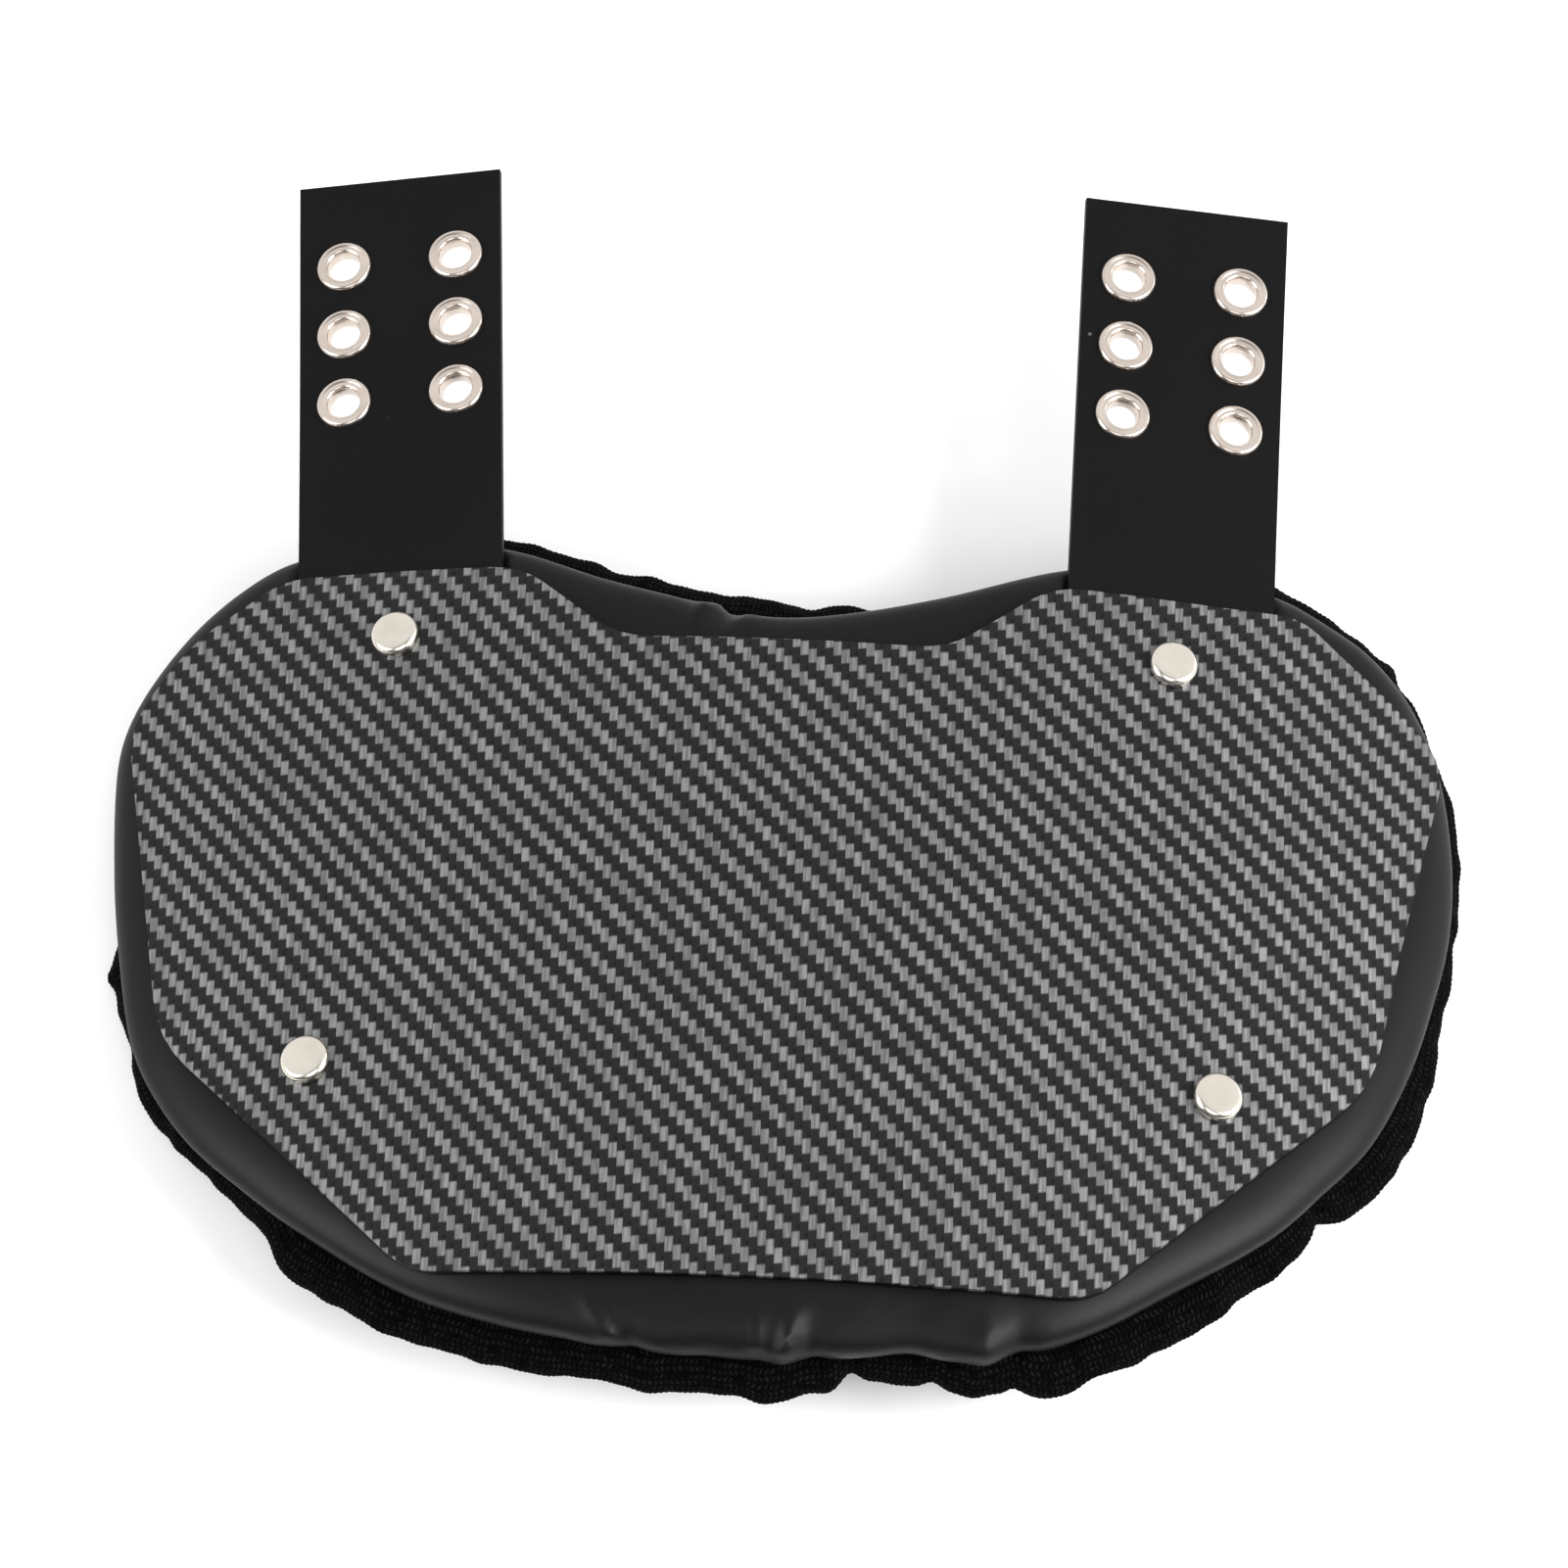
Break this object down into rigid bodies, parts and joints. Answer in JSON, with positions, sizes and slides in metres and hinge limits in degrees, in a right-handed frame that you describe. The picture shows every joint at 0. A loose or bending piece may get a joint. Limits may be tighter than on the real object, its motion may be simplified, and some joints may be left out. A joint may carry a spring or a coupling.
{
  "type": "football back plate",
  "caption": "Arched back plate over a foam pad with a ruffled knit liner, hung from two flat straps with rolled eyelets.",
  "frame": {"origin": "on the floor, under the middle of the bounding box", "axes": "+Z out of the plate's outer face, +Y towards the strap ends, +X across to the right as seen from above with the straps away"},
  "size_m": [0.3656, 0.3562, 0.0551],
  "materials": {
    "plate": "satin printed twill",
    "strap": "fine matte sheet",
    "pad": "smooth coated weave",
    "liner": "coarse knit",
    "metal": "bright nickel"
  },
  "bodies": {
    "root": {"outer_plate": "plate", "pad_cushion": "pad", "mesh_liner": "liner", "strap_left": "strap", "strap_right": "strap", "eyelet_left_inner_1": "metal", "eyelet_left_inner_2": "metal", "eyelet_left_inner_3": "metal", "eyelet_left_outer_1": "metal", "eyelet_left_outer_2": "metal", "eyelet_left_outer_3": "metal", "eyelet_right_inner_1": "metal", "eyelet_right_inner_2": "metal", "eyelet_right_inner_3": "metal", "eyelet_right_outer_1": "metal", "eyelet_right_outer_2": "metal", "eyelet_right_outer_3": "metal", "rivet_upper_left": "metal", "rivet_upper_right": "metal", "rivet_lower_left": "metal", "rivet_lower_right": "metal"}
  },
  "joints": []
}
